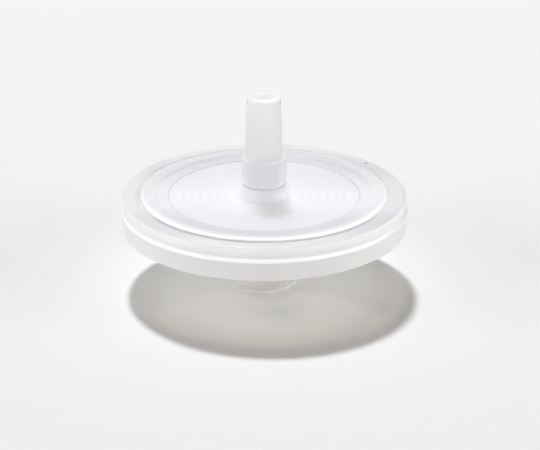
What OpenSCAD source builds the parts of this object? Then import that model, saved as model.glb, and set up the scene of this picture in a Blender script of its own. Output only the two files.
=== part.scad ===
// Disc syringe filter: a round housing with a male luer slip tip on its outlet side and a female
// luer lock port on its inlet side. It stands on the mouth of the inlet port.
// Millimetres. Z runs along the flow axis, with Z = 0 at the mouth of the inlet port.

/* [Sealing ring] */
// Outside diameter of the ring's lower tier, the widest part of the filter
ring_d = 34.2; // [26:0.1:60]
// Height of the ring from its underside to its top face
ring_h = 4.05; // [3.75:0.05:6]
// How far the upper tier stands back from the lower tier
tier_step = 0.25; // [0.15:0.05:0.4]
// Height of the upper tier, from the ring's top face down to the lower tier
tier_h = 1.35; // [0.8:0.05:1.8]
// Radius of the lower tier's top edge
shoulder_r = 0.45; // [0.1:0.05:0.5]
// Height of the upright band of the lower tier's wall, below its round top edge
ring_band_h = 0.1; // [0.1:0.05:0.4]
// How much the lower tier's wall narrows towards the underside, for mould release
ring_draft = 0.2; // [0.05:0.05:0.4]
// Radius of the upper tier's top edge
ring_top_r = 0.2; // [0.1:0.05:0.5]
// Radius of the ring's bottom edge
ring_bottom_r = 0.2; // [0.1:0.05:0.5]
// Thickness of the ring outside the two flanges that it grips
ring_wall = 1.1; // [0.8:0.05:2]
// How far the ring's lips reach over the two flanges
lip_w = 0.9; // [0.6:0.1:1]
// Thickness of the upper lip
upper_lip_t = 0.85; // [0.6:0.05:1]
// Thickness of the lower lip
lower_lip_t = 0.65; // [0.4:0.05:1]
// Bevel at the inner edge of the upper lip
lip_bevel = 0.2; // [0.05:0.01:0.25]

/* [Outlet housing] */
// Width of the moat between the sealing ring and the raised plateau
moat_w = 0.45; // [0.2:0.05:1]
// Height of the plateau above the ring's top face
plateau_h = 0.15; // [0.1:0.05:0.6]
// Radius of the plateau's edge
plateau_r = 0.2; // [0.1:0.05:0.35]
// Width of the raised bead round the plateau's edge
bead_w = 1.85; // [1.6:0.05:2.2]
// Height of the bead above the band inside it
bead_h = 0.2; // [0.05:0.05:0.3]
// Width of the bead's inner slope
bead_slope_w = 0.3; // [0.1:0.05:0.5]
// Depth of the filtering field below the band round it
field_step = 0.1; // [0.05:0.05:0.2]
// Width of the rim round the filtering field, measured from the ring's outside
rim_w = 5.65; // [5.55:0.05:7]
// Thickness of the plate over the filtering field
outlet_plate_t = 1.1; // [0.8:0.05:1.4]
// Rise of the collecting chamber's ceiling from its edge to its centre
ceiling_rise = 0.15; // [0.05:0.05:0.3]

/* [Support ribs] */
// Distance from the chamber's wall to the middle of the outermost rib
rib_inset = 0.8; // [0.6:0.05:1.2]
// Distance from one circular rib to the next
rib_pitch = 1.025; // [0.8:0.025:1.6]
// Width of a rib
rib_w = 0.45; // [0.3:0.05:0.6]
// Height of a rib at the chamber's edge
rib_h = 0.5; // [0.3:0.05:0.8]
// Smallest radius that holds a rib
rib_min_r = 3.4; // [2.6:0.1:5]
// Number of radial channels through the ribs
channel_count = 8; // [4:1:12]
// Width of a radial channel
channel_w = 0.8; // [0.5:0.05:1.2]
// Direction of the first channel, in degrees from +X
channel_turn = 29.5; // [0:0.5:90]

/* [Outlet tip] */
// Diameter of the luer tip at its free end
tip_end_d = 3.97; // [3.93:0.01:3.99]
// Luer taper, as growth in diameter for each unit of length
luer_taper = 0.06; // [0.055:0.001:0.065]
// Length of the luer tip above the collar
tip_len = 7.5; // [7:0.1:10]
// Radius of the tip's free end
tip_edge_r = 0.2; // [0.1:0.05:0.3]
// Diameter of the collar at its top
collar_d = 5.3; // [5:0.1:6.6]
// Growth of the collar's diameter from its top to its foot
collar_draft = 0.06; // [0.02:0.02:0.2]
// Height of the collar above the boss
collar_h = 3.45; // [2:0.05:5]
// Radius of the collar's top edge
collar_edge_r = 0.15; // [0.05:0.05:0.25]
// Width of the boss's ledge round the collar's foot
boss_ledge = 0.4; // [0.2:0.05:1]
// Height of the boss
boss_h = 1.45; // [0.5:0.05:2]
// Growth of the boss's radius from its top to its foot
boss_draft = 0.05; // [0.05:0.05:1]
// Radius of the boss's top edge
boss_edge_r = 0.2; // [0.1:0.05:0.2]
// Radius of the fillet between the boss and the plate
boss_fillet_r = 0.2; // [0.1:0.1:1]
// Diameter of the outlet channel at the tip
bore_end_d = 2.3; // [1.6:0.1:2.6]
// Diameter of the outlet channel at the chamber
bore_root_d = 2.6; // [2:0.1:3.2]
// Bevel where the outlet channel leaves the chamber
bore_bevel = 0.4; // [0.2:0.1:0.6]

/* [Membrane] */
// Thickness of the membrane
membrane_t = 0.15; // [0.1:0.01:0.25]
// Width of the membrane's edge that the housings clamp
clamp_w = 1.35; // [0.9:0.05:1.4]

/* [Inlet housing] */
// Depth of the distributing chamber below the seat, at its edge
inlet_chamber_h = 0.4; // [0.2:0.05:0.6]
// Extra depth of the distributing chamber at its centre
inlet_chamber_fall = 0.2; // [0:0.05:0.4]
// Depth of the trough that holds the outlet housing's skirt, below the seat
trough_h = 0.75; // [0.5:0.05:0.9]
// Width of the trough
trough_w = 1.4; // [0.8:0.05:1.5]
// Height of the underside above the ring's bottom face
underside_step = 0.1; // [0:0.05:0.3]
// Number of spacer ribs in the distributing chamber
spacer_count = 8; // [4:1:12]
// Width of a spacer rib
spacer_w = 0.6; // [0.4:0.1:1]

/* [Inlet port] */
// Height of the ring's underside above the port's mouth
port_len = 7.45; // [7.2:0.05:12]
// Diameter of the luer socket at its mouth
socket_d = 4.3; // [4.27:0.01:4.4]
// Depth of the luer socket
socket_depth = 7.5; // [7.2:0.1:7.8]
// Diameter of the inlet channel at the bottom of the socket
inlet_bore_d = 2.2; // [1.4:0.1:2.8]
// Growth of the inlet channel's diameter to the chamber
inlet_bore_draft = 0.1; // [0.05:0.05:0.4]
// Outside diameter of the hub at its mouth
hub_d = 6.6; // [6:0.05:6.7]
// Growth of the hub's diameter from its mouth to the plate
hub_draft = 0.1; // [0.05:0.05:0.4]
// Radius of the fillet between the hub and the plate
hub_fillet_r = 0.6; // [0.2:0.1:1.2]
// Radius of the edges at the port's mouth
mouth_r = 0.2; // [0.1:0.05:0.3]
// Diameter over the crest of the locking thread
thread_d = 7.8; // [7.73:0.01:7.83]
// Lead of the locking thread, which has two starts
thread_lead = 5; // [4.5:0.1:5.5]
// Width of the thread's crest
crest_w = 0.6; // [0.3:0.05:0.8]
// Slope of the thread's flanks, in degrees
flank_slope = 25; // [15:1:30]
// Part of a turn that each start covers, in degrees
thread_arc = 220; // [120:10:300]
// Direction in which the first start leaves the mouth, in degrees from +X
thread_turn = 165; // [0:5:355]

/* [Fits] */
// Radial clearance round the membrane and the outlet housing's skirt
fit_gap = 0.05; // [0.02:0.01:0.1]

/* [Hidden] */
$fn = 96;
// How far ribs and threads run into the wall that carries them
root = 0.2;

ring_r = ring_d / 2;
tier_r = ring_r - tier_step;
grip_r = ring_r - ring_wall;
seam_r = grip_r - lip_w;
plateau_edge_r = seam_r - moat_w;
bead_foot_r = plateau_edge_r - bead_w;
field_r = ring_r - rim_w;
seat_r = field_r + clamp_w + fit_gap;
trough_r = seat_r + fit_gap + trough_w;

ring_bottom_z = port_len;
ring_top_z = ring_bottom_z + ring_h;
upper_flange_z = ring_top_z - upper_lip_t;
lower_flange_z = ring_bottom_z + lower_lip_t;
moat_z = ring_top_z - lip_bevel;
ledge_z = ring_top_z - tier_h;
plateau_z = ring_top_z + plateau_h;
band_z = plateau_z - bead_h;
field_z = band_z - field_step;
ceiling_z = field_z - outlet_plate_t;
clamp_z = ceiling_z - rib_h;
seat_z = clamp_z - membrane_t;
underside_z = ring_bottom_z + underside_step;
trough_z = seat_z - trough_h;
// The flanges meet here, above the bottom of the trough
joint_z = trough_z + 0.6 * trough_h;
chamber_z = seat_z - inlet_chamber_h;

boss_top_z = field_z + boss_h;
collar_top_z = boss_top_z + collar_h;
collar_foot_r = (collar_d + collar_draft) / 2;
boss_top_r = collar_foot_r + boss_ledge;
tip_z = collar_top_z + tip_len;
tip_root_d = tip_end_d + luer_taper * tip_len;
socket_end_d = socket_d - luer_taper * socket_depth;
rib_count = 1 + floor((field_r - rib_inset - rib_min_r) / rib_pitch);

function unit(v) = v / norm(v);

// The sliver between a corner b of a path a-b-c and the arc of radius r that rounds it. The arc
// starts and ends a hair past the edges, so that it crosses them instead of grazing them.
module corner(a, b, c, r) {
    u = unit(a - b);
    v = unit(c - b);
    half = acos(u * v) / 2;
    reach = 0.99 * r;
    middle = b + unit(u + v) * reach / sin(half);
    difference() {
        polygon([
            b - unit(u + v) * r / 4,
            b + u * reach / tan(half),
            middle,
            b + v * reach / tan(half)
        ]);
        translate(middle) circle(r);
    }
}

// A clockwise outline with some corners rounded: each entry of rounds is [corner number, radius].
// Outer corners lose their sliver and inner corners are filled with it.
module rounded(path, rounds) {
    n = len(path);
    turns = [for (i = [0:n - 1]) cross(path[i] - path[(i + n - 1) % n], path[(i + 1) % n] - path[i])];
    difference() {
        union() {
            polygon(path);
            for (k = rounds)
                if (turns[k[0]] > 0)
                    corner(path[(k[0] + n - 1) % n], path[k[0]], path[(k[0] + 1) % n], k[1]);
        }
        for (k = rounds)
            if (turns[k[0]] < 0)
                corner(path[(k[0] + n - 1) % n], path[k[0]], path[(k[0] + 1) % n], k[1]);
    }
}

// Bars that run out from the axis like spokes, from radius r0 to r1 and from height z0 to z1.
module spokes(count, turn, width, r0, r1, z0, z1) {
    for (i = [0:count - 1])
        rotate(turn + i * 360 / count)
            translate([r0, -width / 2, z0])
                cube([r1 - r0, width, z1 - z0]);
}

// Section of the outlet housing: tip, collar, boss, plate, plateau, flange, skirt and chamber.
module outlet_profile() {
    rounded([
        [bore_end_d / 2, tip_z],
        [tip_end_d / 2, tip_z],
        [tip_root_d / 2, collar_top_z],
        [collar_d / 2, collar_top_z],
        [collar_foot_r, boss_top_z],
        [boss_top_r, boss_top_z],
        [boss_top_r + boss_draft, field_z],
        [field_r, field_z],
        [field_r, band_z],
        [bead_foot_r, band_z],
        [bead_foot_r + bead_slope_w, plateau_z],
        [plateau_edge_r, plateau_z],
        [plateau_edge_r, moat_z],
        [seam_r, moat_z],
        [seam_r, upper_flange_z],
        [grip_r, upper_flange_z],
        [grip_r, joint_z],
        [trough_r - fit_gap, joint_z],
        [trough_r - fit_gap, trough_z],
        [seat_r + fit_gap, trough_z],
        [seat_r + fit_gap, clamp_z],
        [field_r, clamp_z],
        [field_r, ceiling_z],
        [bore_root_d / 2 + bore_bevel, ceiling_z + ceiling_rise],
        [bore_root_d / 2, ceiling_z + ceiling_rise + bore_bevel]
    ], [[1, tip_edge_r], [3, collar_edge_r], [5, boss_edge_r], [6, boss_fillet_r], [11, plateau_r]]);
}

// Circular ribs that hold the membrane off the plate, cut by radial channels to the outlet.
module support_ribs() {
    difference() {
        rotate_extrude()
            for (i = [0:rib_count - 1])
                translate([field_r - rib_inset - i * rib_pitch - rib_w / 2, clamp_z])
                    square([rib_w, rib_h + ceiling_rise + root]);
        spokes(channel_count, channel_turn, channel_w, 0, field_r, clamp_z - 1, ceiling_z + 1);
    }
}

module outlet_housing() {
    color([0.93, 0.94, 0.96, 0.7]) {
        rotate_extrude() outlet_profile();
        support_ribs();
    }
}

module membrane() {
    color([0.97, 0.97, 0.98])
        translate([0, 0, seat_z])
            cylinder(h = membrane_t, r = seat_r - fit_gap);
}

// Section of the inlet housing: luer socket, hub, plate, flange, trough, seat and chamber.
module inlet_profile() {
    rounded([
        [socket_end_d / 2, socket_depth],
        [inlet_bore_d / 2, socket_depth],
        [(inlet_bore_d + inlet_bore_draft) / 2, chamber_z - inlet_chamber_fall],
        [field_r, chamber_z],
        [field_r, seat_z],
        [seat_r, seat_z],
        [seat_r, trough_z],
        [trough_r, trough_z],
        [trough_r, joint_z],
        [grip_r, joint_z],
        [grip_r, lower_flange_z],
        [seam_r, lower_flange_z],
        [seam_r, underside_z],
        [(hub_d + hub_draft) / 2, underside_z],
        [hub_d / 2, 0],
        [socket_d / 2, 0]
    ], [[13, hub_fillet_r], [14, mouth_r]]);
}

// One start of the locking thread, swept up a right-handed helix from below the mouth. Its crest
// sinks into the hub over the last step.
module thread_start() {
    steps = ceil(thread_arc / 10);
    inner_r = hub_d / 2 - root;
    points = [
        for (i = [0:steps]) let (
            angle = i * thread_arc / steps,
            height = thread_lead * angle / 360 - crest_w,
            crest_r = i == steps ? inner_r + root / 2 : thread_d / 2,
            flank = (crest_r - inner_r) * tan(flank_slope),
            section = [
                [inner_r, height - flank],
                [crest_r, height],
                [crest_r, height + crest_w],
                [inner_r, height + crest_w + flank]
            ]
        ) each [for (p = section) [p[0] * cos(angle), p[0] * sin(angle), p[1]]]
    ];
    sides = [
        for (i = [0:steps - 1], k = [0:3]) let (
            a = 4 * i + k,
            b = 4 * i + (k + 1) % 4
        ) each [[a, b, a + 4], [b, b + 4, a + 4]]
    ];
    last = 4 * steps;
    polyhedron(points, concat(sides, [[3, 2, 1, 0], [last, last + 1, last + 2, last + 3]]));
}

// Two starts of thread round the hub, cut off level at the mouth.
module locking_thread() {
    intersection() {
        for (turn = [0, 180])
            rotate(thread_turn + turn)
                thread_start();
        cylinder(h = port_len, r = thread_d);
    }
}

// Low radial ribs that spread the flow and keep the membrane off the chamber's floor.
module spacers() {
    spokes(spacer_count, channel_turn, spacer_w, field_r / 4, field_r - rib_inset,
        chamber_z - inlet_chamber_fall - root, seat_z - inlet_chamber_h / 4);
}

module inlet_housing() {
    color([0.93, 0.94, 0.96, 0.7]) {
        rotate_extrude() inlet_profile();
        locking_thread();
        spacers();
    }
}

// Section of the sealing ring: a drafted lower tier with a round top edge, a narrower upper tier,
// and lips that reach over both flanges.
module ring_profile() {
    difference() {
        union() {
            rounded([
                [seam_r, ledge_z],
                [ring_r, ledge_z],
                [ring_r, ledge_z - shoulder_r - ring_band_h],
                [ring_r - ring_draft, ring_bottom_z],
                [seam_r, ring_bottom_z]
            ], [[1, shoulder_r], [3, ring_bottom_r]]);
            rounded([
                [seam_r, moat_z],
                [seam_r + lip_bevel, ring_top_z],
                [tier_r, ring_top_z],
                [tier_r, ledge_z - shoulder_r],
                [seam_r, ledge_z - shoulder_r]
            ], [[2, ring_top_r]]);
        }
        translate([seam_r - 1, lower_flange_z])
            square([grip_r - seam_r + 1, upper_flange_z - lower_flange_z]);
    }
}

module sealing_ring() {
    color([0.92, 0.93, 0.95, 0.8])
        rotate_extrude() ring_profile();
}

outlet_housing();
membrane();
inlet_housing();
sealing_ring();
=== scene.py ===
"""Looks of a disc syringe filter: two translucent housings, a white membrane and a sealing ring."""
import math

import bpy
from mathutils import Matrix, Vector


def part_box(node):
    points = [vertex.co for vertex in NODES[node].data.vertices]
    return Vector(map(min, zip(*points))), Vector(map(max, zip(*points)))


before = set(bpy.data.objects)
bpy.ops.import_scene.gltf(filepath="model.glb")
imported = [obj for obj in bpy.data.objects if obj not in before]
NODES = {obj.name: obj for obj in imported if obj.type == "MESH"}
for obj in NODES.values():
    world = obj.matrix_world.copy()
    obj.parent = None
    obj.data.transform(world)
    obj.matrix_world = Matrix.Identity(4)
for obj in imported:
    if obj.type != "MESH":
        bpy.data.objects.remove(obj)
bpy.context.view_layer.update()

bl_info = {
    "name": "Syringe Filter Looks",
    "version": (1, 0, 0),
    "blender": (4, 5, 0),
    "location": "View3D > Sidebar > Filter",
    "description": "Finishes and stage of a disc syringe filter",
    "category": "Material",
}

MM = 0.001

# Places on the filter, in millimetres: radii from its axis, and heights above the floor. Its front
# is towards -Y.
RING_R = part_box("sealing_ring")[1].x / MM
RING_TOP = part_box("sealing_ring")[1].z / MM
RING_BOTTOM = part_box("sealing_ring")[0].z / MM
TIP_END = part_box("outlet_housing")[1].z / MM
LEDGE_Z = RING_TOP - 1.35  # top of the ring's lower tier
TIER_R = RING_R - 0.25  # wall of the ring's upper tier
SEAM_R = RING_R - 2.0  # where the ring meets the outlet housing
PLATEAU_R = SEAM_R - 0.45
PLATEAU_Z = RING_TOP + 0.15
FIELD_R = RING_R - 5.65  # step round the field over the membrane
BOSS_R = 3.1
BOSS_TOP = RING_TOP + 1.3
COLLAR_TOP = TIP_END - 7.5
TIP_R = 2.0  # outside of the tip near its end
BORE_R = 1.15
THREAD_R = 3.9  # crest of the locking thread
PORT_TOP = RING_BOTTOM - 0.3  # where the port runs out into the inlet's plate

RIB_PITCH = 1.025
RIB_R = FIELD_R - 0.8  # middle of the outermost circular rib
CHANNELS = 8
CHANNEL_TURN = math.radians(29.5)  # direction of the first radial channel
CHANNEL_HALF = 0.4  # half of a channel's width

SPECK = (12.5, 10.1)
BRIGHT_SPOT = (-0.9, -14.8)  # middle of the round patch of the inlet that passes most light
BRIGHT_SPOT_R = 16.5
DIM_STRIP_HALF = 3.4  # half of the width of the dim strip down from the port
DIM_STRIP_GAP = (1.1, -5.9)  # brighter place in that strip

# Plastic, film and paper. The scales are the noise's turns per millimetre.
PLASTIC_IOR = 1.49
SCATTER_DEPTH = 3 * MM
RING_SCATTER_DEPTH = 1.5 * MM
GRAIN_DEPTH = 0.02 * MM
CLOUD_SCALE = 0.35
GRAIN_SCALE = 9.0
PORE_SCALE = 20.0
PAPER_SCALE = 0.02

# Tints of the lamp light that passes each piece, and of the painted glow that it emits
OUTLET_TINT = (1.0, 0.98, 0.96)
INLET_TINT = (1.0, 0.94, 0.78)
RING_TINT = (1.0, 0.96, 0.91)
OUTLET_GLOW = (0.94, 0.96, 1.0)
INLET_GLOW = (1.0, 0.98, 0.95)
RING_GLOW = (0.95, 0.97, 1.0)
DIRT = (0.25, 0.12, 0.1)

# The stage, in metres. The camera turns round the plateau's middle, and aims this far to the right
# of it and below it.
FLOOR_HALF = 2.0
LAMP_DISTANCE = 0.3
AIM_RIGHT = 0.7 * MM
AIM_DROP = 3.884 * MM
SENSOR_WIDTH = 36  # in millimetres

BLACK = (0.0, 0.0, 0.0)
WHITE = (1.0, 1.0, 1.0)


# Shader helpers ------------------------------------------------------------------------------


class Value:
    """A node's output socket that takes part in Python arithmetic by adding Math nodes."""

    def __init__(self, sheet, socket):
        self.sheet = sheet
        self.socket = socket

    def _math(self, operation, first, second=None):
        inputs = {0: first} if second is None else {0: first, 1: second}
        return self.sheet.node("ShaderNodeMath", {"operation": operation}, inputs)

    def __add__(self, other):
        return self._math("ADD", self, other)

    def __radd__(self, other):
        return self._math("ADD", other, self)

    def __sub__(self, other):
        return self._math("SUBTRACT", self, other)

    def __rsub__(self, other):
        return self._math("SUBTRACT", other, self)

    def __mul__(self, other):
        return self._math("MULTIPLY", self, other)

    def __rmul__(self, other):
        return self._math("MULTIPLY", other, self)

    def __pow__(self, other):
        return self._math("POWER", self, other)

    def maximum(self, other):
        return self._math("MAXIMUM", self, other)

    def minimum(self, other):
        return self._math("MINIMUM", self, other)

    def absolute(self):
        return self._math("ABSOLUTE", self)

    def cosine(self):
        return self._math("COSINE", self)

    def smooth(self, low, high):
        """0 below low, 1 above high, and a smooth ramp between them."""
        return self.sheet.node(
            "ShaderNodeMapRange",
            {"interpolation_type": "SMOOTHSTEP"},
            {"Value": self, "From Min": low, "From Max": high},
        )

    def band(self, low, high, soft):
        """1 between low and high, 0 outside, with smooth ramps of width soft round both ends."""
        rise = self.smooth(low - soft / 2, low + soft / 2)
        return rise * (1 - self.smooth(high - soft / 2, high + soft / 2))


class Sheet:
    """The node tree of one new material, or of the world."""

    def __init__(self, name=None, tree=None):
        if tree is None:
            self.material = bpy.data.materials.new(name)
            self.material.use_nodes = True
            tree = self.material.node_tree
        self.tree = tree
        self.tree.nodes.clear()

    def node(self, kind, settings=None, inputs=None, output=0):
        """Adds a node of this kind, with its settings first, and returns one of its outputs."""
        made = self.tree.nodes.new(kind)
        for key, value in (settings or {}).items():
            setattr(made, key, value)
        for key, value in (inputs or {}).items():
            socket = made.inputs[key]
            if isinstance(value, Value):
                self.tree.links.new(value.socket, socket)
            elif socket.type == "RGBA":
                socket.default_value = (*value, 1.0)
            else:
                socket.default_value = value
        return Value(self, made.outputs[output]) if made.outputs else None

    def mix(self, factor, first, second):
        """A colour that goes from first to second as factor goes from 0 to 1."""
        return self.node(
            "ShaderNodeMix", {"data_type": "RGBA"}, {0: factor, 6: first, 7: second}, output=2)

    def shade(self, share, colour):
        """This colour, darkened by this share."""
        return self.mix(share, colour, BLACK)

    def glow(self, strength, tint):
        """The colour of an emission of this strength and tint."""
        return self.mix(strength, BLACK, tint)

    def noise(self, vector, scale, detail=3.0, roughness=0.5):
        return self.node(
            "ShaderNodeTexNoise",
            None,
            {"Vector": vector, "Scale": scale, "Detail": detail, "Roughness": roughness},
        )

    def bump(self, height, strength, distance):
        return self.node(
            "ShaderNodeBump",
            None,
            {"Height": height, "Strength": strength, "Distance": distance},
        )

    def light_path(self, output):
        return self.node("ShaderNodeLightPath", output=output)

    def principled(self, inputs):
        return self.node("ShaderNodeBsdfPrincipled", None, inputs)

    def blend(self, factor, first, second):
        """A shader that goes from first to second as factor goes from 0 to 1."""
        return self.node("ShaderNodeMixShader", None, {0: factor, 1: first, 2: second})

    def through(self, shader, share, tint):
        """Lets this share of the light from lamps, in this tint, go straight on through each
        surface, so the thin plastic lights what is behind it."""
        clear = self.node("ShaderNodeBsdfTransparent", None, {"Color": tint})
        return self.blend(self.light_path("Is Shadow Ray") * share, shader, clear)

    def finish(self, shader):
        """The material, with this shader as its surface."""
        self.node("ShaderNodeOutputMaterial", None, {"Surface": shader})
        return self.material


class Place:
    """Where a point lies on its piece, in millimetres: the vector, its parts x, y and z, and its
    distance from the axis."""

    def __init__(self, sheet):
        coordinates = sheet.node("ShaderNodeTexCoord", output="Object")
        self.vector = sheet.node(
            "ShaderNodeVectorMath", {"operation": "SCALE"}, {0: coordinates, "Scale": 1 / MM})
        parts = sheet.node("ShaderNodeSeparateXYZ", inputs={0: self.vector}).socket.node.outputs
        self.x, self.y, self.z = (Value(sheet, part) for part in parts)
        self.radius = self.distance(0, 0)

    def distance(self, x, y):
        """How far the point is from the upright line through x and y."""
        across, along = self.x - x, self.y - y
        return (across * across + along * along) ** 0.5

    def front(self, low, high):
        """0 up to low in front of the axis, 1 past high, and a smooth ramp between them."""
        return (0 - self.y).smooth(low, high)

    def ends(self):
        """1 at the front and the back of the filter, and 0 at its left and right."""
        return self.y.absolute().smooth(3, 9)

    def sides(self):
        """1 at the left and right of the filter, and 0 at its front and back."""
        return self.x.absolute().smooth(6, 14)


# Sizes and colours ---------------------------------------------------------------------------


def colour_setting(name, text, value):
    return bpy.props.FloatVectorProperty(
        name=name, description=text, subtype="COLOR", size=3, min=0, max=1, default=value)


def share_setting(name, text, value):
    return bpy.props.FloatProperty(
        name=name, description=text, subtype="FACTOR", min=0, max=1, default=value)


def strength_setting(name, text, value):
    return bpy.props.FloatProperty(name=name, description=text, min=0, max=10, default=value)


def angle_setting(name, text, degrees):
    return bpy.props.FloatProperty(
        name=name, description=text, subtype="ANGLE", default=math.radians(degrees))


class FilterPlastic(bpy.types.PropertyGroup):
    colour: colour_setting("Plastic", "Colour of the natural plastic", (0.96, 0.975, 1.0))
    tip_colour: colour_setting("Tip", "Colour of the luer tip", (0.98, 0.985, 1.0))
    collar_colour: colour_setting("Collar", "Colour of the collar", (0.955, 0.955, 1.0))
    plate_colour: colour_setting(
        "Field", "Colour of the plate over the membrane", (0.9, 0.925, 0.99))
    band_colour: colour_setting(
        "Band", "Colour of the plate round the field", (0.865, 0.885, 0.935))
    port_colour: colour_setting("Port", "Colour of the inlet port", (0.97, 0.97, 0.945))
    # Painted shade: a darker copy of the plastic for the ring's top face
    shaded_top_colour: colour_setting("Ring top", "Colour of the ring's top face", (0.85, 0.86, 0.895))
    clarity: share_setting("Tip clarity", "How clear the tip and the collar are", 0.4)
    plate_clarity: share_setting(
        "Plate clarity", "How clear the outlet's plate and the inlet housing are", 0.1)
    ring_clarity: share_setting("Ring clarity", "How clear the sealing ring is", 0.0)
    roughness: share_setting("Roughness", "Roughness of the moulded surfaces", 0.35)
    outlet_share: share_setting(
        "Outlet share", "Lamp light that passes each surface of the outlet", 0.8)
    inlet_share: share_setting(
        "Inlet share", "Lamp light that passes each surface of the inlet", 0.6)
    ring_share: share_setting(
        "Ring share", "Lamp light that passes each surface of the ring's lower tier", 0.08)
    tier_share: share_setting(
        "Tier share", "Lamp light that passes each surface of the ring's upper tier", 0.46)
    # Strength of the painted glow: emission on edges, boss, tip, ring and port mouth, in place of
    # piped light
    painted_glow_strength: share_setting("Edge light", "Light that the plastic pipes to its edges", 0.35)


class FilterMembrane(bpy.types.PropertyGroup):
    colour: colour_setting("Membrane", "Colour of the membrane", (0.96, 0.97, 0.985))


class FilterStage(bpy.types.PropertyGroup):
    floor_colour: colour_setting(
        "Floor", "Colour of the floor round the filter", (0.893, 0.895, 0.905))
    far_colour: colour_setting(
        "Far floor", "Colour of the floor behind the filter", (0.94, 0.935, 0.96))
    sky: strength_setting("Sky", "Strength of the even light from all sides", 0.2)
    sky_colour: colour_setting("Sky colour", "Colour of the even light", (1.0, 0.925, 0.82))
    backdrop: share_setting(
        "Backdrop", "Brightness of the backdrop behind the floor and in reflections", 0.905)
    sun: strength_setting("Sun", "Strength of the key light behind the filter", 2.22)
    sun_colour: colour_setting("Sun colour", "Colour of the key light", (0.965, 0.98, 1.0))
    sun_elevation: angle_setting("Sun elevation", "Height of the key light above the floor", 65.3)
    sun_turn: angle_setting(
        "Sun turn", "Direction of the key light from straight behind, to the left", 13.3)
    sun_angle: angle_setting(
        "Sun size", "Apparent size of the key light, which softens the shadow", 6.5)
    fill: strength_setting(
        "Fill", "Strength of each of the two soft lights beside the filter", 0.93)
    fill_colour: colour_setting("Fill colour", "Colour of the fill lights", (0.99, 0.98, 0.975))
    fill_elevation: angle_setting(
        "Fill elevation", "Height of the fill lights above the floor", 15)
    fill_turn: angle_setting(
        "Fill turn", "Direction of the fill lights from straight behind", 108)
    fill_angle: angle_setting("Fill size", "Apparent size of the fill lights", 40)
    camera_distance: bpy.props.FloatProperty(
        name="Camera distance", description="From the camera to the middle of the plateau",
        subtype="DISTANCE", default=309 * MM)
    camera_elevation: angle_setting(
        "Camera elevation", "Height of the camera above the plateau's level", 21.59)
    lens: bpy.props.FloatProperty(
        name="Lens", description="Focal length in millimetres", default=173.2)


# Finishes ------------------------------------------------------------------------------------


def dress(name, material):
    """Gives a CAD node this one material."""
    slots = NODES[name].data.materials
    slots.clear()
    slots.append(material)


def moulded(sheet, look, at, colour, glow, clarity, depth):
    """A shader of moulded plastic in this colour, with faint clouds in its depth and a fine grain
    on its surface. Light scatters this deep into it, and glow is a painted emission that stands in
    for light that the plastic pipes here."""
    cloud = sheet.noise(at.vector, CLOUD_SCALE)
    grain = sheet.noise(at.vector, GRAIN_SCALE)
    return sheet.principled({
        "Base Color": sheet.shade(0.03 * cloud, colour),
        "Roughness": look.roughness + 0.08 * grain,
        "IOR": PLASTIC_IOR,
        "Normal": sheet.bump(grain, 0.05, GRAIN_DEPTH),
        "Subsurface Weight": 1.0,
        "Subsurface Radius": (1.0, 1.0, 1.0),
        "Subsurface Scale": depth,
        "Transmission Weight": clarity,
        "Emission Color": glow,
        "Emission Strength": 1.0,
    })


def rib_masks(at):
    """What shows through the outlet's plate: its circular ribs, the borders of the radial channels
    that cut them, and painted glints, drawn as glow, in the gaps between the ribs to the left and
    right of the boss."""
    field = at.radius.band(BOSS_R + 0.5, FIELD_R - 0.45, 0.1)
    ribs = 0.5 + 0.5 * ((at.radius - RIB_R) * (2 * math.pi / RIB_PITCH)).cosine()
    channel, border = 0, 0
    for k in range(CHANNELS // 2):
        turn = CHANNEL_TURN + k * 2 * math.pi / CHANNELS
        offset = (at.x * math.sin(turn) - at.y * math.cos(turn)).absolute()
        channel = (1 - offset.smooth(CHANNEL_HALF - 0.1, CHANNEL_HALF + 0.05)).maximum(channel)
        border = offset.band(CHANNEL_HALF - 0.05, CHANNEL_HALF + 0.1, 0.1).maximum(border)
    ribs = ribs * (1 - channel) * field
    # Painted glints: highlights in the gaps between the ribs, drawn later as glow
    glints = 0.5 * (1 - ribs) * field * (1 - at.y.absolute().smooth(0.6, 2.0))
    return ribs, border * field, glints


def plate_colour(sheet, look, at, ribs, borders):
    """The outlet's plate: a pale field with faint lines where the ribs and channels show through,
    painted shade at the field's step and towards its front and back, a grey band round it with
    painted shade at the front and back, the plateau's edge in lighter plain plastic as a painted
    highlight, and a painted shadow at its foot in front and behind."""
    # Painted shade: a dark line at the field's step. The ribs and channel borders are what shows
    # through.
    step = at.radius.band(FIELD_R - 0.2, FIELD_R + 0.05, 0.08)
    lines = 0.01 * ribs + 0.035 * borders + 0.12 * step
    # Painted shade on the grey band, deeper at the front and back
    grey = (0.07 + 0.06 * at.front(0, 10)) * at.ends()
    grey = grey * at.radius.band(FIELD_R + 0.05, PLATEAU_R - 1.25, 0.3)
    # Painted shadow at the plateau's foot, in front and behind
    foot = at.radius.smooth(PLATEAU_R - 0.15, PLATEAU_R - 0.05)
    foot = foot * (1 - at.z.smooth(RING_TOP - 0.08, RING_TOP))
    beyond = at.radius.smooth(FIELD_R - 0.35, FIELD_R + 0.05)
    # Painted highlight: the plateau's edge in lighter plain plastic
    edge = at.radius.smooth(PLATEAU_R - 0.45, PLATEAU_R - 0.25)
    plate = sheet.mix(beyond, look.plate_colour, look.band_colour)
    # Painted shade towards the front and back of the field
    plate = sheet.shade(lines + 0.08 * at.y.absolute().smooth(1, 8), plate)
    plate = sheet.shade(grey, plate)
    plate = sheet.mix(edge, plate, look.colour)
    return sheet.shade(0.3 * at.ends() * foot, plate)


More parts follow.
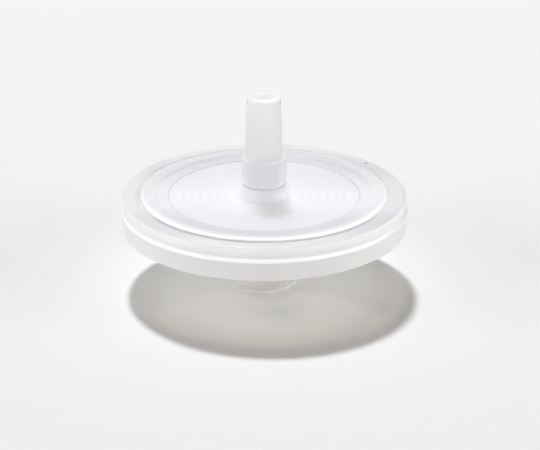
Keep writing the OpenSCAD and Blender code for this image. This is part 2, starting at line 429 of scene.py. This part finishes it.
def tip_colour(sheet, look, at):
    """The tip and the collar, with painted shade in a dark line round the collar's foot, a painted
    highlight in a light line just above it, and painted shade on the far side of the tip's end."""
    # Painted shade on the far side of the tip's end
    far_rim_shade = at.z.band(TIP_END - 0.95, TIP_END - 0.25, 0.2)
    far_rim_shade = far_rim_shade * at.radius.smooth(TIP_R - 0.2, TIP_R - 0.1) * at.y.smooth(-1.2, -0.2)
    tip = sheet.mix(
        at.z.smooth(COLLAR_TOP + 0.05, COLLAR_TOP + 0.45), look.collar_colour, look.tip_colour)
    # Painted highlight: a light line just above the collar's foot
    tip = sheet.mix(0.5 * at.z.band(BOSS_TOP + 0.35, BOSS_TOP + 0.75, 0.2), tip, WHITE)
    # Painted shade: a dark line at the collar's foot
    tip = sheet.shade(0.25 * at.z.band(BOSS_TOP, BOSS_TOP + 0.3, 0.1), tip)
    return sheet.shade(0.25 * far_rim_shade, tip)


def outlet_painted_glow(at, glints):
    """How strongly the outlet glows: painted highlights on the plateau's edge, mostly at the front
    and some at the back right, painted glow on the boss, in the bore and along the tip, a painted
    highlight on the front of the tip's rim, and painted glints between the ribs."""
    # Painted highlights on the plateau's edge: mostly at the front, some at the back right
    back = at.y.smooth(9, 12) * at.x.band(2, 8, 1.5)
    edge = at.radius.band(PLATEAU_R - 0.3, PLATEAU_R - 0.05, 0.1)
    edge = edge * (0.08 + 0.42 * at.front(-6, 8) + 0.4 * back)
    edge = edge + at.front(0, 10) * at.radius.band(PLATEAU_R - 0.65, PLATEAU_R - 0.05, 0.1)
    # Painted glow on the boss's wall, stronger at the front
    boss = 1 - at.radius.smooth(BOSS_R + 0.05, BOSS_R + 0.2)
    boss = boss * at.z.band(BOSS_TOP - 1.3, BOSS_TOP - 0.2, 0.2)
    boss = boss * (0.2 + 0.12 * at.y.smooth(-2.8, -1))
    # Painted glow inside the bore near the tip's end
    bore = 1 - at.radius.smooth(BORE_R + 0.05, BORE_R + 0.2)
    bore = bore * at.z.smooth(TIP_END - 1.75, TIP_END - 0.75)
    # Painted highlight on the front of the tip's rim
    rim = at.z.smooth(TIP_END - 0.35, TIP_END - 0.15)
    rim = rim * at.radius.smooth(BORE_R + 0.15, BORE_R + 0.35) * at.front(0.3, 1.5)
    # Painted glow along the tip
    tube = 0.8 * at.z.smooth(COLLAR_TOP - 0.25, COLLAR_TOP + 0.75)
    tube = tube + at.z.smooth(COLLAR_TOP + 1.75, TIP_END - 0.35)
    return 0.5 * edge + boss + 0.25 * bore + 0.3 * rim + 0.045 * tube + 0.27 * glints


def outlet_plastic(look):
    """Milky plate, boss and plateau, and a clearer collar and tip."""
    sheet = Sheet("outlet_plastic")
    at = Place(sheet)
    ribs, borders, glints = rib_masks(at)
    plate = plate_colour(sheet, look, at, ribs, borders)
    tip = tip_colour(sheet, look, at)
    glow = sheet.glow(look.painted_glow_strength * outlet_painted_glow(at, glints), OUTLET_GLOW)
    plate = moulded(sheet, look, at, plate, glow, look.plate_clarity, SCATTER_DEPTH)
    tip = moulded(sheet, look, at, tip, glow, look.clarity, SCATTER_DEPTH)
    shader = sheet.blend(at.z.band(BOSS_TOP + 0.05, TIP_END - 0.25, 0.1), plate, tip)
    return sheet.finish(sheet.through(shader, look.outlet_share, OUTLET_TINT))


def inlet_passed(look, at):
    """The share of lamp light that passes the inlet: less outside a round patch at the front, down
    from the port and near the rim, and more in the flange at both sides."""
    spot = at.distance(*BRIGHT_SPOT).smooth(BRIGHT_SPOT_R - 0.3, BRIGHT_SPOT_R + 0.3)
    strip = (at.x - BRIGHT_SPOT[0]).absolute()
    strip = 1 - strip.smooth(DIM_STRIP_HALF - 0.4, DIM_STRIP_HALF + 0.4)
    strip = strip * at.y.band(-8, 1, 2) * at.distance(*DIM_STRIP_GAP).smooth(1, 3)
    dim = 0.24 * spot.maximum(0.6 * strip) + 0.25 * at.radius.smooth(SEAM_R - 4.1, SEAM_R + 0.4)
    passed = look.inlet_share * (1 - dim)
    flange = at.radius.smooth(SEAM_R - 0.5, SEAM_R + 0.1) * at.sides()
    return passed + flange * (0.75 - passed)


def inlet_plastic(look):
    """Milky plate and port, with painted shade on the thread, a painted glow at the mouth's rim and
    a faint painted glow over the rest.
    """
    sheet = Sheet("inlet_plastic")
    at = Place(sheet)
    plate = at.z.smooth(PORT_TOP - 0.15, PORT_TOP + 0.15)
    colour = sheet.mix(plate, look.port_colour, look.colour)
    # Painted shade on the thread's crests
    thread = at.radius.smooth(THREAD_R - 0.4, THREAD_R - 0.1) * (1 - plate)
    colour = sheet.shade(0.1 * thread, colour)
    # Painted glow: strong at the mouth's rim, faint over the rest of the inlet
    mouth = 0.5 - 0.47 * at.z.smooth(0.15, 0.3)
    glow = sheet.glow(look.painted_glow_strength * mouth, INLET_GLOW)
    shader = moulded(sheet, look, at, colour, glow, look.plate_clarity, SCATTER_DEPTH)
    return sheet.finish(sheet.through(shader, inlet_passed(look, at), INLET_TINT))


def ring_colour(sheet, look, at):
    """The ring, with painted shade: a darker copy of the plastic on its top face, greyer still at
    the front, back and sides, and darker on its inner lip, the back of its upper edge and the
    shoulder of its lower tier away from the front, with a small speck of dirt on the top face."""
    # Painted shade on the top face at the front, back and sides, a little more on the right
    top = 0.1 * at.ends() + 0.11 * at.sides() + 0.04 * at.x.smooth(4, 14)
    top = top * at.z.smooth(RING_TOP - 0.1, RING_TOP - 0.02)
    # Painted shade on the inner lip at the front and back
    lip = 0.1 * at.ends() * (1 - at.radius.smooth(SEAM_R + 0.1, SEAM_R + 0.3))
    # Painted shade on the back of the upper edge
    brim = 0.16 * at.radius.smooth(TIER_R - 0.35, TIER_R - 0.15) * at.y.smooth(-8, 2)
    brim = brim * at.z.smooth(RING_TOP - 0.3, RING_TOP - 0.2)
    # Painted shade on the lower tier's shoulder, away from the front
    shoulder = 0.12 * (1 - at.front(2, 10)) * at.z.band(LEDGE_Z - 0.45, LEDGE_Z + 0.05, 0.1)
    face = at.z.smooth(RING_TOP - 0.2, RING_TOP - 0.05)
    speck = 1 - at.distance(*SPECK).smooth(0.12, 0.25)
    colour = sheet.mix(face, look.colour, look.shaded_top_colour)
    colour = sheet.shade(top + lip + brim + shoulder, colour)
    return sheet.mix(speck, colour, DIRT)


def ring_painted_glow(at):
    """How strongly the ring glows: a faint painted glow all over, a painted highlight on its lower
    tier's edge, mostly at the front, and painted glow on the wall above it at the front.
    """
    # Painted highlight on the lower tier's edge
    edge = at.z.band(LEDGE_Z - 0.4, LEDGE_Z + 0.03, 0.1)
    edge = edge * at.radius.smooth(TIER_R - 0.15, TIER_R - 0.05)
    # Painted glow on the upper tier's wall
    wall = at.z.band(LEDGE_Z + 0.03, RING_TOP - 0.2, 0.1)
    wall = wall * at.radius.smooth(TIER_R - 0.25, TIER_R - 0.15)
    wall = wall * (0.18 + 0.12 * at.z.smooth(LEDGE_Z + 0.25, RING_TOP - 0.2))
    return 0.11 + (0.05 + 0.87 * at.front(2, 12)) * edge + at.front(0, 11) * wall


def ring_passed(look, at):
    """The share of lamp light that passes the ring: more inside its rim, and in the upper tier."""
    inner = 1 - at.radius.smooth(TIER_R - 0.75, TIER_R - 0.25)
    lower = look.ring_share + inner * (0.4 + 0.25 * at.sides())
    upper = look.tier_share * (0.5 + 0.5 * inner) + 0.2 * inner * at.sides()
    return lower + (upper - lower) * at.z.smooth(LEDGE_Z - 0.05, LEDGE_Z + 0.05)


def ring_plastic(look):
    """Denser milky plastic."""
    sheet = Sheet("ring_plastic")
    at = Place(sheet)
    colour = ring_colour(sheet, look, at)
    glow = sheet.glow(look.painted_glow_strength * ring_painted_glow(at), RING_GLOW)
    shader = moulded(sheet, look, at, colour, glow, look.ring_clarity, RING_SCATTER_DEPTH)
    return sheet.finish(sheet.through(shader, ring_passed(look, at), RING_TINT))


def membrane_film(look):
    """Matt white film with fine pores."""
    sheet = Sheet("membrane_film")
    pores = sheet.noise(Place(sheet).vector, PORE_SCALE, detail=6.0, roughness=0.7)
    shader = sheet.principled({
        "Base Color": sheet.shade(0.04 * (1 - pores), look.colour),
        "Roughness": 0.8,
        "Normal": sheet.bump(pores, 0.3, GRAIN_DEPTH),
    })
    return sheet.finish(sheet.through(shader, 0.9, WHITE))


def floor_paper(stage):
    """Matt pale paper that grows lighter behind the filter."""
    sheet = Sheet("floor_paper")
    at = Place(sheet)
    paper = sheet.mix(at.y.smooth(-10, 70), stage.floor_colour, stage.far_colour)
    return sheet.finish(sheet.principled({
        "Base Color": sheet.shade(0.01 * sheet.noise(at.vector, PAPER_SCALE), paper),
        "Roughness": 0.9,
        "Specular IOR Level": 0.0,
    }))


# Operators -----------------------------------------------------------------------------------


class FILTER_OT_housings(bpy.types.Operator):
    """Finish the outlet and inlet housings in translucent plastic"""

    bl_idname = "filter.housings"
    bl_label = "Housings"

    def execute(self, context):
        look = context.scene.filter_plastic
        dress("outlet_housing", outlet_plastic(look))
        dress("inlet_housing", inlet_plastic(look))
        return {"FINISHED"}


class FILTER_OT_ring(bpy.types.Operator):
    """Finish the sealing ring in milky plastic"""

    bl_idname = "filter.ring"
    bl_label = "Sealing ring"

    def execute(self, context):
        dress("sealing_ring", ring_plastic(context.scene.filter_plastic))
        return {"FINISHED"}


class FILTER_OT_membrane(bpy.types.Operator):
    """Finish the membrane in white porous film"""

    bl_idname = "filter.membrane"
    bl_label = "Membrane"

    def execute(self, context):
        dress("membrane", membrane_film(context.scene.filter_membrane))
        return {"FINISHED"}


class FILTER_OT_stage(bpy.types.Operator):
    """Make the floor, the lights and the camera"""

    bl_idname = "filter.stage"
    bl_label = "Stage"

    def execute(self, context):
        scene = context.scene
        stage = scene.filter_stage
        self.floor(scene, stage)
        self.sky(scene, stage)
        self.lamp(scene, stage, "sun", 1)
        for side in (1, -1):
            self.lamp(scene, stage, "fill", side)
        self.camera(scene, stage)
        scene.view_settings.view_transform = "Standard"
        return {"FINISHED"}

    def floor(self, scene, stage):
        corners = ((-1, -1), (1, -1), (1, 1), (-1, 1))
        points = [(FLOOR_HALF * x, FLOOR_HALF * y, 0) for x, y in corners]
        mesh = bpy.data.meshes.new("floor")
        mesh.from_pydata(points, [], [(0, 1, 2, 3)])
        mesh.materials.append(floor_paper(stage))
        floor = bpy.data.objects.new("floor", mesh)
        scene.collection.objects.link(floor)

    def sky(self, scene, stage):
        """An even light, and a brighter backdrop for the camera, gloss and clear plastic."""
        world = bpy.data.worlds.new("sky")
        world.use_nodes = True
        sheet = Sheet(tree=world.node_tree)
        seen = sheet.light_path("Is Camera Ray")
        seen = seen.maximum(sheet.light_path("Is Glossy Ray"))
        seen = seen.maximum(sheet.light_path("Is Transmission Ray"))
        seen = seen * (1 - sheet.light_path("Diffuse Depth").minimum(1))
        glow = sheet.node("ShaderNodeBackground", None, {
            "Color": sheet.mix(seen, stage.sky_colour, WHITE),
            "Strength": stage.sky + (stage.backdrop - stage.sky) * seen,
        })
        sheet.node("ShaderNodeOutputWorld", None, {"Surface": glow})
        scene.world = world

    def lamp(self, scene, stage, name, side):
        """A distant lamp with the settings of this name, turned to the left for side 1 and to the
        right for side -1."""
        elevation = getattr(stage, name + "_elevation")
        turn = side * getattr(stage, name + "_turn")
        lamp = bpy.data.lights.new(name, "SUN")
        lamp.energy = getattr(stage, name)
        lamp.color = getattr(stage, name + "_colour")
        lamp.angle = getattr(stage, name + "_angle")
        towards = Vector((
            -math.sin(turn) * math.cos(elevation),
            math.cos(turn) * math.cos(elevation),
            math.sin(elevation)))
        light = bpy.data.objects.new(name, lamp)
        light.rotation_euler = towards.to_track_quat("Z", "Y").to_euler()
        light.location = towards * LAMP_DISTANCE
        scene.collection.objects.link(light)

    def camera(self, scene, stage):
        rise = stage.camera_elevation
        away = Vector((0, -math.cos(rise), math.sin(rise)))
        up = Vector((0, math.sin(rise), math.cos(rise)))
        pivot = Vector((0, 0, PLATEAU_Z * MM))
        aim = pivot + Vector((AIM_RIGHT, 0, 0)) - up * AIM_DROP
        data = bpy.data.cameras.new("camera")
        data.sensor_width = SENSOR_WIDTH
        data.lens = stage.lens
        data.clip_start = 0.01
        data.clip_end = 10
        camera = bpy.data.objects.new("camera", data)
        camera.location = pivot + away * stage.camera_distance
        camera.rotation_euler = (aim - camera.location).to_track_quat("-Z", "Y").to_euler()
        scene.collection.objects.link(camera)
        scene.camera = camera


class FILTER_PT_panel(bpy.types.Panel):
    """Settings and steps that finish the filter"""

    bl_label = "Syringe filter"
    bl_idname = "FILTER_PT_panel"
    bl_space_type = "VIEW_3D"
    bl_region_type = "UI"
    bl_category = "Filter"

    def draw(self, context):
        for group, kind in GROUPS.items():
            for name in kind.__annotations__:
                self.layout.prop(getattr(context.scene, group), name)
        for operator in OPERATORS:
            self.layout.operator(operator.bl_idname)


GROUPS = {
    "filter_plastic": FilterPlastic,
    "filter_membrane": FilterMembrane,
    "filter_stage": FilterStage,
}
OPERATORS = (FILTER_OT_housings, FILTER_OT_ring, FILTER_OT_membrane, FILTER_OT_stage)


def register():
    for group, kind in GROUPS.items():
        bpy.utils.register_class(kind)
        setattr(bpy.types.Scene, group, bpy.props.PointerProperty(type=kind))
    for kind in (*OPERATORS, FILTER_PT_panel):
        bpy.utils.register_class(kind)


def unregister():
    for kind in (FILTER_PT_panel, *reversed(OPERATORS)):
        bpy.utils.unregister_class(kind)
    for group, kind in reversed(GROUPS.items()):
        delattr(bpy.types.Scene, group)
        bpy.utils.unregister_class(kind)


def main():
    register()
    bpy.ops.filter.housings()
    bpy.ops.filter.ring()
    bpy.ops.filter.membrane()
    bpy.ops.filter.stage()


if __name__ == "__main__":
    main()
